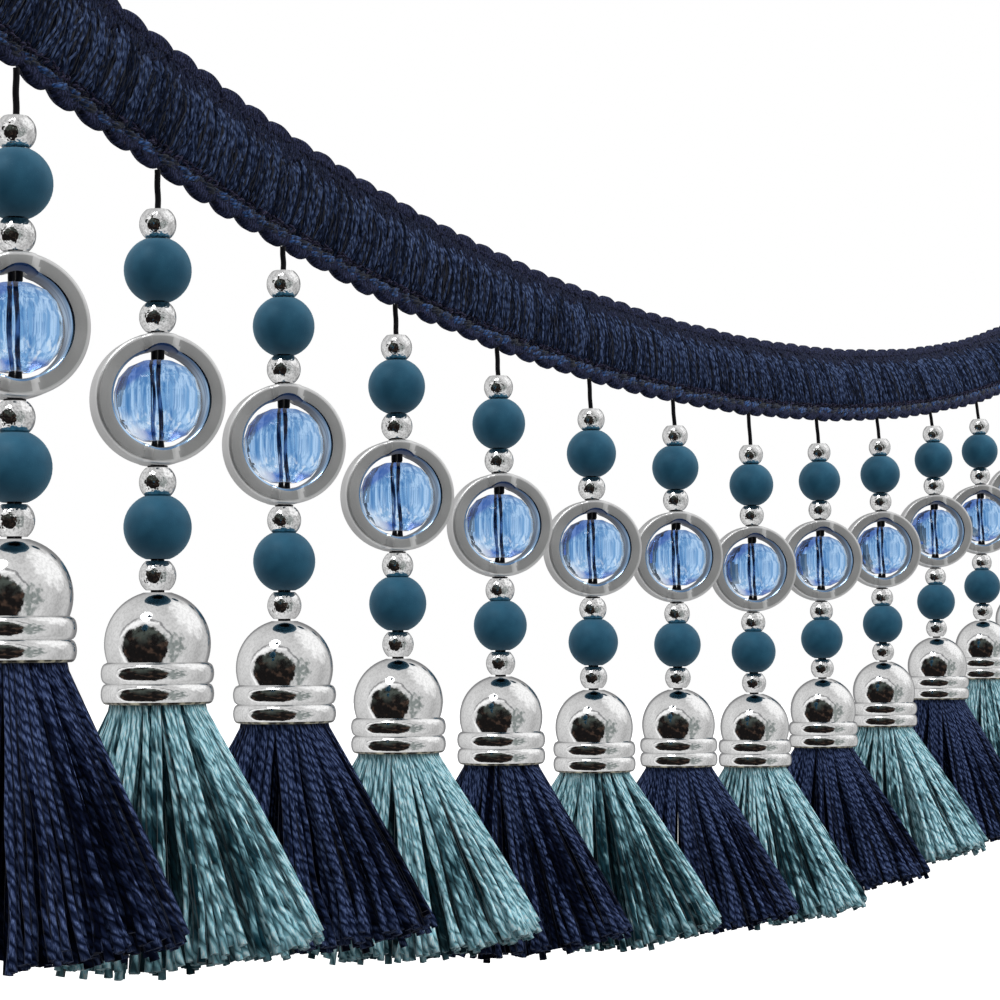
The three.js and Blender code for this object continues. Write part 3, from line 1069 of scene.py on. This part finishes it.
def bead_set(name, profile, heights, segments, finishes):
    points, faces = turned(profile, around(segments))
    rows = len(profile)
    all_points = np.concatenate([points + (0, 0, height) for height in heights])
    first_corners = len(points) * np.arange(len(heights))[:, None, None]
    all_faces = (np.asarray(faces) + first_corners).reshape(-1, 4).tolist()
    mesh = make_mesh(name, all_points, all_faces, finishes, sharp=50)
    in_hole = np.isin(np.arange(len(all_faces)) % rows, (0, rows - 2, rows - 1))
    give_finishes(mesh, in_hole)
    return mesh


CRYSTAL_RADIUS = 6.5
CRYSTAL_HALF_HEIGHT = 5.9
CRYSTAL_DROP = 0.2
CRYSTAL_FACETS = 18
CRYSTAL_BORE = 1.15
CRYSTAL_SOFTNESS = 0.5

# Rows of corners from the crystal's top to its middle, as shares of its radius and half height
CRYSTAL_ROWS = [(0.34, 1.0), (0.66, 0.84), (0.88, 0.56), (0.985, 0.2)]


def crystal_mesh(look, inside):
    """A faceted ball, with its facets' shading softened."""
    upper = [(CRYSTAL_RADIUS * r, CRYSTAL_HALF_HEIGHT * h) for r, h in CRYSTAL_ROWS]
    lower = [(r, -h) for r, h in upper[::-1]]
    bore = [(CRYSTAL_BORE, -CRYSTAL_HALF_HEIGHT), (CRYSTAL_BORE, CRYSTAL_HALF_HEIGHT)]
    points, faces = turned(upper + lower + bore, around(CRYSTAL_FACETS))
    mesh = make_mesh("crystal", points, faces, [look, inside])
    normals = []
    for polygon in mesh.polygons:
        flat = np.array(polygon.normal)
        radius = np.hypot(*points[list(polygon.vertices)][:, :2].T)
        is_ball = radius.min() > CRYSTAL_BORE + 0.1
        is_bore = radius.max() < CRYSTAL_BORE + 0.1
        polygon.material_index = int(is_bore)
        for corner in polygon.vertices:
            round_ = points[corner] * ((1, 1, 1) if is_ball else (-1, -1, 0))
            softness = CRYSTAL_SOFTNESS if is_ball else float(is_bore)
            normals.append(unit(lerp(flat, unit(round_), softness)).tolist())
    mesh.normals_split_custom_set(normals)
    return mesh


RING_RADIUS = 9.7
RING_BORE = 7.1
RING_HALF = 2.8
RING_CORNER = 0.6
BOSS_HALF_WIDTH = 2.45
BOSS_HEIGHT = 0.75
FLARE = 0.6
FLARE_BELOW = 0.25
FLARE_HALF_WIDTH = 2.3
RING_HOLE = 1.55
RING_MOUTH = [
    (RING_BORE, RING_HALF - 1.9),
    (RING_BORE + 0.02, RING_HALF - 0.3),
    (RING_BORE + 0.12, RING_HALF - 0.1),
    (RING_BORE + 0.35, RING_HALF),
]
RING_ROUNDING = 7
PAINTED_LIGHT_BESIDE_HOLE = (1.5, 2.7)
SHADOW_HALF_WIDTH = 2.4

# The ring's finishes, in their order; the painted light is on its outer wall and the boss's sides
FACE, BORE, EDGE, RING_PAINTED_LIGHT, SHADOW = range(5)


def ring_profile():
    """From the front mouth of its bore over its wall to the back one."""
    rim = RING_RADIUS - RING_CORNER
    face = [(RING_BORE + 1.0, RING_HALF + 0.04), (rim - 0.3, RING_HALF + 0.02)]
    rounding = arc((rim, RING_HALF - RING_CORNER), RING_CORNER, 0, 90, RING_ROUNDING)
    front = RING_MOUTH + face + rounding
    return front + [(r, -h) for r, h in front[::-1]]


def ring_mesh(finishes):
    """A flat ring on edge, its axis along X, with a boss across its wall at its top and bottom."""
    profile = ring_profile()
    rows = len(profile)
    fine = np.linspace(-20, 20, 17)
    coarse = np.linspace(24, 156, 34)
    angles = np.concatenate([fine, coarse, 180 + fine, 180 + coarse])
    points, faces = turned(profile, np.radians(angles))
    row = np.arange(len(points)) % rows
    reach = np.clip(1 - np.abs(points[:, 1] / BOSS_HALF_WIDTH) ** 4, 0, 1) ** 0.5
    on_face = np.clip((np.abs(points[:, 2]) - RING_HALF + 1.2) / 0.7, 0, 1)
    on_face = on_face * (row > 0) * (row < rows - 1)
    points[:, 2] += np.sign(points[:, 2]) * BOSS_HEIGHT * reach * on_face
    flare = np.clip(1 - (points[:, 1] / FLARE_HALF_WIDTH) ** 2, 0, 1)
    at_mouth = np.isin(row, (1, 2, 3, rows - 2, rows - 3, rows - 4))
    points[:, 0] += np.where(points[:, 0] > 0, FLARE, -FLARE_BELOW) * flare * at_mouth
    mesh = make_mesh("ring", points[:, ::-1], [face[::-1] for face in faces], finishes, sharp=40)

    corner = len(RING_MOUTH) + 2
    finish_rows = np.full(rows, FACE)
    finish_rows[[0, 1, 2, -1, -2, -3, -4]] = BORE
    # The rounded edges are polished, and painted lighter as highlight
    finish_rows[corner : corner + RING_ROUNDING - 1] = EDGE
    # The outer wall takes the painted light
    finish_rows[corner + RING_ROUNDING - 1] = RING_PAINTED_LIGHT
    finish_rows[-corner - RING_ROUNDING : -corner - 1] = EDGE
    indices = finish_rows[np.arange(len(faces)) % rows]
    middle = points[np.asarray(faces)].mean(axis=1)
    up, across, out = np.abs(middle).T
    # The boss's sides beside the hole take the painted light too
    beside_hole = (across > PAINTED_LIGHT_BESIDE_HOLE[0]) & (across < PAINTED_LIGHT_BESIDE_HOLE[1])
    on_boss = beside_hole & (out > RING_HALF) & (up > RING_BORE)
    indices = np.where(on_boss & (indices == FACE), RING_PAINTED_LIGHT, indices)
    in_mouth = (across < SHADOW_HALF_WIDTH) & (middle[:, 0] > 0) & (indices == BORE)
    give_finishes(mesh, np.where(in_mouth, SHADOW, indices))
    return drilled(mesh)


DRILL_SIDES = 20


def drilled(mesh):
    """The ring's mesh with a hole for the cord through its top and bottom."""
    body = bpy.data.objects.new("ring_blank", mesh)
    reach = RING_RADIUS * 1.2
    points, first = [], range(DRILL_SIDES)
    for height in (reach, -reach):
        for a in around(DRILL_SIDES):
            points.append((RING_HOLE * math.cos(a), RING_HOLE * math.sin(a), height))
    nearer = [(i + 1) % DRILL_SIDES for i in first]
    sides = [(i, DRILL_SIDES + i, DRILL_SIDES + j, j) for i, j in zip(first, nearer)]
    ends = [tuple(first), tuple(DRILL_SIDES + i for i in reversed(first))]
    tool_mesh = bpy.data.meshes.new("drill")
    tool_mesh.from_pydata([Vector(p) * MM for p in points], [], sides + ends)
    tool = bpy.data.objects.new("drill", tool_mesh)
    for thing in (body, tool):
        link(thing)
    cut = body.modifiers.new("hole", "BOOLEAN")
    cut.operation = "DIFFERENCE"
    cut.object = tool
    cut.solver = "EXACT"
    bpy.context.view_layer.update()
    graph = bpy.context.evaluated_depsgraph_get()
    result = bpy.data.meshes.new_from_object(body.evaluated_get(graph))
    for thing in (body, tool):
        bpy.data.objects.remove(thing)
    result.set_sharp_from_angle(angle=math.radians(40))
    return result


CAP_TOP = -28.2
CAP_HOLE = 2.05
CAP_DOME_RADIUS = 7.77
CAP_DOME_CENTRE = -35.9
CAP_RIB_TOP = -38.7
CAP_RIB_HEIGHT = 3.0
CAP_RIB_RADIUS = 8.24
CAP_VALLEY = 7.35
CAP_MOUTH = -44.7
CAP_MOUTH_RADIUS = 7.4
CAP_INNER_RADIUS = 6.95
CAP_SEGMENTS = 48
CAP_SHARP = 35
CAP_LIP = [
    (CAP_MOUTH_RADIUS, CAP_MOUTH + 0.12),
    (CAP_MOUTH_RADIUS - 0.12, CAP_MOUTH),
    (CAP_INNER_RADIUS + 0.1, CAP_MOUTH),
    (CAP_INNER_RADIUS, CAP_MOUTH + 0.12),
]
CAP_INSIDE = [(CAP_INNER_RADIUS, -37.6), (6.3, -34.6), (4.6, -32.0), (CAP_HOLE + 0.4, -30.4)]


def cap_profile():
    """From the hole's lip over the dome and two half-round ribs to the mouth, and back inside."""
    centre = (0, CAP_DOME_CENTRE)
    start = math.degrees(math.asin((CAP_HOLE + 0.18) / CAP_DOME_RADIUS))
    end = 90 + math.degrees(math.asin((CAP_DOME_CENTRE - CAP_RIB_TOP - 0.12) / CAP_DOME_RADIUS))
    lip = [(CAP_HOLE, CAP_TOP - 0.9), (CAP_HOLE, CAP_TOP - 0.3), (CAP_HOLE + 0.06, CAP_TOP - 0.2)]
    ribs = []
    for rib in range(2):
        top = CAP_RIB_TOP - rib * CAP_RIB_HEIGHT
        for angle in np.radians(np.linspace(8, 172, 11)):
            radius = CAP_VALLEY + (CAP_RIB_RADIUS - CAP_VALLEY) * math.sin(angle) ** 0.8
            ribs.append((radius, top - CAP_RIB_HEIGHT / 2 * (1 - math.cos(angle))))
    return lip + arc(centre, CAP_DOME_RADIUS, start, end, 18) + ribs + CAP_LIP + CAP_INSIDE


def cap_mesh(plating, lip):
    profile = cap_profile()
    rows = len(profile)
    points, faces = turned(profile, around(CAP_SEGMENTS))
    mesh = make_mesh("cap", points, faces, [plating, lip], sharp=CAP_SHARP)
    mouth = rows - len(CAP_INSIDE) - len(CAP_LIP)
    # The rows at the mouth take the lip's painted shade and reflection
    in_mouth = np.isin(np.arange(len(faces)) % rows, range(mouth - 3, mouth + 4))
    give_finishes(mesh, in_mouth)
    return mesh


def make_cord(number, ring_centre, look):
    """One cord from the heading to the first bead, then two strands side by side, with a black disc
    over and under the ring that stands for the shade between bead and ring."""
    rng = np.random.default_rng(200 + number)
    hang_x = -ROW_HALF + (number - 1) * PITCH
    top = on_band(hang_x, *CORD_FROM) - ring_centre
    knee = np.array([0, 0, CORD_TO])
    share = np.linspace(0, 1, 12)[:, None]
    single = lerp(top, knee, share)
    single[:, 0] += 0.1 * np.sin(share[:, 0] * 9 + number) * np.sin(np.pi * share[:, 0])
    tubes = Tubes()
    tubes.add(single[None], CORD_RADIUS, 10, (0, 1, 0))
    height = np.linspace(STRAND_FROM, STRAND_TO, 64)
    wave = rng.uniform(0, 2 * np.pi)
    facing = math.radians(CAMERA_YAW) + 0.14 * np.sin(height / 3.3 + wave)
    level = height + CRYSTAL_DROP
    in_crystal = np.clip((CRYSTAL_HALF_HEIGHT + 0.45 - np.abs(level)) / 1.2, 0, 1)
    down_crystal = np.clip((CRYSTAL_HALF_HEIGHT - level) / (2 * CRYSTAL_HALF_HEIGHT), 0, 1)
    for strand, top_place, low_place, radius in STRANDS:
        inner = lerp(top_place, low_place, down_crystal)
        inner = inner + 0.09 * np.sin(height / 1.3 + wave + strand)
        away = lerp(STRAND_APART * strand, inner, in_crystal)
        path = joined(away * np.sin(facing), -away * np.cos(facing), height)
        tubes.add(path[None], lerp(STRAND_RADIUS, radius, in_crystal), 7, (0, 1, 0))
    # Black discs as painted shade between bead and ring
    for middle in (SHADE_DISC_HEIGHT, -SHADE_DISC_HEIGHT):
        ends = middle + SHADE_DISC_HALF * np.array([-1, -0.6, 0.6, 1])
        path = joined(0, 0, ends)
        tubes.add(path[None], SHADE_DISC_RADIUS * np.array([0.9, 1, 1, 0.9]), 18, (0, 1, 0))
    return tubes.make(f"cord_{number:02d}", look, ring_centre)


SKIRT_ALONG = 17.9
SKIRT_ACROSS = 24.9
YARN_LENGTH = 38.3
ROOT_HEIGHT = -42.6
# Layers of yarn from the outside in: how far each reaches, the radius it starts at, how many yarns
# it has, their sides and steps, and their tone, which is lower in the inner layers as painted shade
YARN_LAYERS = [
    (1.0, 6.35, 112, 5, 13, 0.5),
    (0.93, 5.9, 78, 5, 10, 0.34),
    (0.82, 5.2, 66, 3, 6, 0.12),
    (0.68, 4.3, 58, 3, 5, 0.06),
    (0.52, 3.3, 46, 3, 5, 0.05),
    (0.34, 2.2, 30, 3, 4, 0.04),
    (0.14, 1.0, 14, 3, 4, 0.04),
]
CLUMPS = 19
CLUMP_REACH = 0.02
THICKNESS_ALONG = ([0, 0.3, 0.9, 1], [0.28, 0.39, 0.44, 0.66])
# Painted light and shade along each yarn, by how far down it is: lighter next to its root and at
# its tips, darker partway down
PAINTED_LIGHT_AND_SHADE_ALONG = ([0, 0.25, 0.6, 0.9, 1], [0.3, 0.2, -0.14, 0.02, 0.3])
STRAY_SHARE = 0.14


def make_tassel(number, ring_centre, look):
    """Loose twisted yarns that spread from the cap's mouth, gather in clumps and end raggedly."""
    rng = np.random.default_rng(700 + number)
    tubes = Tubes()
    clumps = around(CLUMPS) + rng.normal(0, 0.11, CLUMPS)
    clump_reach = rng.normal(0, CLUMP_REACH, CLUMPS)
    for layer_reach, root, count, sides, steps, layer_tone in YARN_LAYERS:
        each = (count, 1)
        share = np.linspace(0, 1, steps)
        angle = around(count) + rng.normal(0, 0.3 * 2 * np.pi / count, count)
        gap = (clumps[None] - angle[:, None] + np.pi) % (2 * np.pi) - np.pi
        nearest = np.abs(gap).argmin(axis=1)
        pull = gap[np.arange(count), nearest] * rng.uniform(0.1, 0.75, count)
        fray = rng.normal(0, 0.03, count)
        uneven = clump_reach[nearest] + rng.normal(0, 0.012, count)
        reach = layer_reach * (1 + np.clip(uneven, -0.05, 0.02))
        along_run = (SKIRT_ALONG * reach - root) * np.cos(angle)
        across_run = (SKIRT_ACROSS * reach - root) * np.sin(angle)
        cut = YARN_LENGTH + EXTRA_YARN[number - 1] - 0.8 * (1 - layer_reach)
        cut = cut + rng.normal(0, 0.42, count)
        cut += np.where(rng.uniform(0, 1, count) < STRAY_SHARE, rng.uniform(-1.6, 1.3, count), 0)
        end_height = CAP_MOUTH - np.sqrt(cut**2 - along_run**2 - across_run**2)

        height = lerp(ROOT_HEIGHT, end_height[:, None], share)
        spread = np.clip((CAP_MOUTH + 0.3 - height) / (CAP_MOUTH - end_height[:, None]), 0, 1)
        gathered = np.sin(np.pi * spread**0.9) * 0.75 + 0.45 * spread
        turn = angle[:, None] + pull[:, None] * gathered + fray[:, None] * spread**2
        along = lerp(root, SKIRT_ALONG * reach[:, None], spread)
        across = lerp(root, SKIRT_ACROSS * reach[:, None], spread)
        swing = rng.uniform(0.004, 0.024, each)
        swing_length = rng.uniform(1.8, 4.0, each)
        sway = swing * np.sin(height / swing_length + rng.uniform(0, 6.3, each))
        turn = turn + sway * spread
        belly = 1 + 0.018 * np.sin(np.pi * spread) + rng.normal(0, 0.004, spread.shape) * spread
        paths = joined(along * belly * np.cos(turn), across * belly * np.sin(turn), height)
        facing = joined(np.cos(turn), np.sin(turn), 0)
        wide = 0.1 * (1 - layer_reach)
        thick = np.interp(spread, *THICKNESS_ALONG) + wide * spread
        thick = thick * rng.uniform(0.84, 1.18, each)
        tone = rng.normal(layer_tone, 0.26, count) + 0.15 * clump_reach[nearest] / CLUMP_REACH
        # Painted light and shade along the yarn
        tone = tone[:, None] + np.interp(spread, *PAINTED_LIGHT_AND_SHADE_ALONG)
        tone = np.clip(tone, 0, 1)
        tubes.add(paths, thick, sides, facing, tone, seed=1000 * number + count)
    return tubes.make(f"tassel_yarn_{number:02d}", look, ring_centre)


# Making it all

forward, right = make_camera()
make_world()
make_light("key", (-34, 52), 500, 8.0)
make_light("second", (55, 40), 900, 3.0).visible_glossy = False
make_floor()
bpy.context.scene.view_settings.view_transform = "Standard"

band_thread = yarn_finish(
    "band_thread",
    (0.006, 0.009, 0.022),
    (0.044, 0.068, 0.160),
    (0.16, 0.23, 0.40),
    twist=(1, 1.9, 0.05),
    gloss=(0.5, 0.06),
    gleam=(0.4, 0.6, 1.0),
    mottle=(0.3, 0.8, 1.2),
)
chain_yarn = yarn_finish(
    "chain_yarn",
    (0.002, 0.004, 0.014),
    (0.020, 0.060, 0.200),
    (0.10, 0.24, 0.58),
    twist=(2, 3.0, 0.06),
    gloss=(0.4, 0.12),
    gleam=(0.4, 0.6, 1.0),
    mottle=(0.8, 1.0, 1.5),
)
edge_yarn = yarn_finish(
    "edge_yarn",
    (0.005, 0.006, 0.016),
    (0.026, 0.030, 0.074),
    (0.06, 0.068, 0.14),
    twist=(2, 2.4, 0.08),
    gloss=(0.6, 0.08),
    gleam=(0.6, 0.7, 1.0),
)
stitch_yarn = yarn_finish(
    "stitch_yarn",
    (0.008, 0.008, 0.022),
    (0.050, 0.046, 0.095),
    (0.07, 0.07, 0.12),
    twist=(2, 1.6, 0.05),
    gloss=(0.6, 0.06),
    gleam=(0.6, 0.7, 1.0),
)
navy_yarn = yarn_finish(
    "navy_yarn",
    (0.002, 0.003, 0.010),
    (0.025, 0.040, 0.108),
    (0.16, 0.22, 0.42),
    twist=(2, 3.4, 0.12),
    gloss=(0.5, 0.012),
    gleam=(0.5, 0.65, 1.0),
    mottle=(0.8, 0.35, 1.3),
    glints=0.7,
    crown=0.14,
)
teal_yarn = yarn_finish(
    "teal_yarn",
    (0.006, 0.035, 0.050),
    (0.36, 0.77, 0.90),
    (0.90, 1.0, 1.0),
    twist=(2, 7.0, 0.1),
    gloss=(0.42, 0.06),
    gleam=(0.75, 0.95, 1.0),
    mottle=(0.8, 0.22, 1.5),
    glints=0.9,
    crown=0.6,
)
cord_black = cord_finish()
ring_finishes = [
    ring_finish("satin_grey", 0.49, 0.58, 0.6),
    bore_finish("polished_bore", (0.16, 0.30, 0.52), (0.50, 0.72, 1.0)),
    # Polished edges: their polish is real, their lighter colour is painted highlight
    ring_finish("polished_edge_painted_light", 0.68, 0.8, 0.32),
    ring_finish("satin_painted_light", 0.66, 0.76, 0.4),
    bore_finish("shadowed_mouth", (0.006, 0.010, 0.026), (0.025, 0.05, 0.12)),
]
tape = cloth_finish(
    "slate_tape", (0.009, 0.014, 0.038), (0.034, 0.046, 0.106), (0.072, 0.090, 0.165), 0.6
)
edging = cloth_finish(
    "navy_edging", (0.012, 0.016, 0.044), (0.048, 0.058, 0.135), (0.11, 0.13, 0.25), 0.35
)

ground = make_ground(tape)
heading_pieces = [
    make_tape(tape),
    make_threads(band_thread),
    make_heading_stitches(edge_yarn),
    make_stitch_line(stitch_yarn),
    make_chain_cord(chain_yarn),
    *make_edge("lower", "bottom_chain", LOWER_EDGE, LOWER_STITCHES, edging, edge_yarn),
    *make_edge("upper", "top_chain", UPPER_EDGE, UPPER_STITCHES, edging, edge_yarn),
]

silver_profile = bead_profile(SILVER_RADIUS, SILVER_HOLE, SILVER_HOLE, SILVER_BORE, SILVER_ROWS)
teal_profile = bead_profile(TEAL_RADIUS, TEAL_HOLE_TOP, TEAL_HOLE_BOTTOM, TEAL_BORE, TEAL_ROWS)
bead_hole = hole_finish()
silver_finishes = [silver_finish("bead_plating", 900.0, 0.42, dull=0.6), bead_hole]
teal_finishes = [teal_finish(), bead_hole]
silver_mesh = bead_set(
    "silver_beads", silver_profile, SILVER_HEIGHTS, SILVER_SEGMENTS, silver_finishes
)
teal_mesh = bead_set("teal_beads", teal_profile, TEAL_HEIGHTS, TEAL_SEGMENTS, teal_finishes)
crystal = crystal_mesh(crystal_finish(), clear_finish())
ring = ring_mesh(ring_finishes)
cap = cap_mesh(silver_finish("cap_plating", 170.0, 0.22), lip_shade_finish())

# Pieces that all pendants share: name, mesh, slot, node, and how far under the ring's centre
shared = (
    ("silver_beads", silver_mesh, "silver_plate", "strand", 0),
    ("teal_beads", teal_mesh, "teal_bead", "strand", 0),
    ("crystal", crystal, "crystal", "strand", CRYSTAL_DROP),
    ("ring_body", ring, "satin_ring", "ring", 0),
    ("cap_body", cap, "silver_plate", "cap", 0),
)
tassel_yarns = (("teal_yarn", teal_yarn), ("navy_yarn", navy_yarn))
unmirrored = [ground, *heading_pieces]
for number in range(1, PENDANTS + 1):
    tag = f"{number:02d}"
    low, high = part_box(f"ring_{tag}")
    centre = np.array((low + high) / 2) / MM
    turn = math.radians(RING_TURNS[number - 1])
    cord = dress(make_cord(number, centre, cord_black), "cord", f"strand_{tag}")
    unmirrored.append(cord)
    for name, mesh, slot, node, drop in shared:
        piece = add_object(f"{name}_{tag}", mesh, centre - (0, 0, drop), turn)
        dress(piece, slot, f"{node}_{tag}")
        if name != "teal_beads":
            unmirrored.append(piece)
    slot, yarn = tassel_yarns[number % 2]
    unmirrored.append(dress(make_tassel(number, centre, yarn), slot, f"tassel_{tag}"))

# Bright plating mirrors the studio and the teal beads next to it, and not the rest of the row
for piece in unmirrored:
    piece.visible_glossy = False
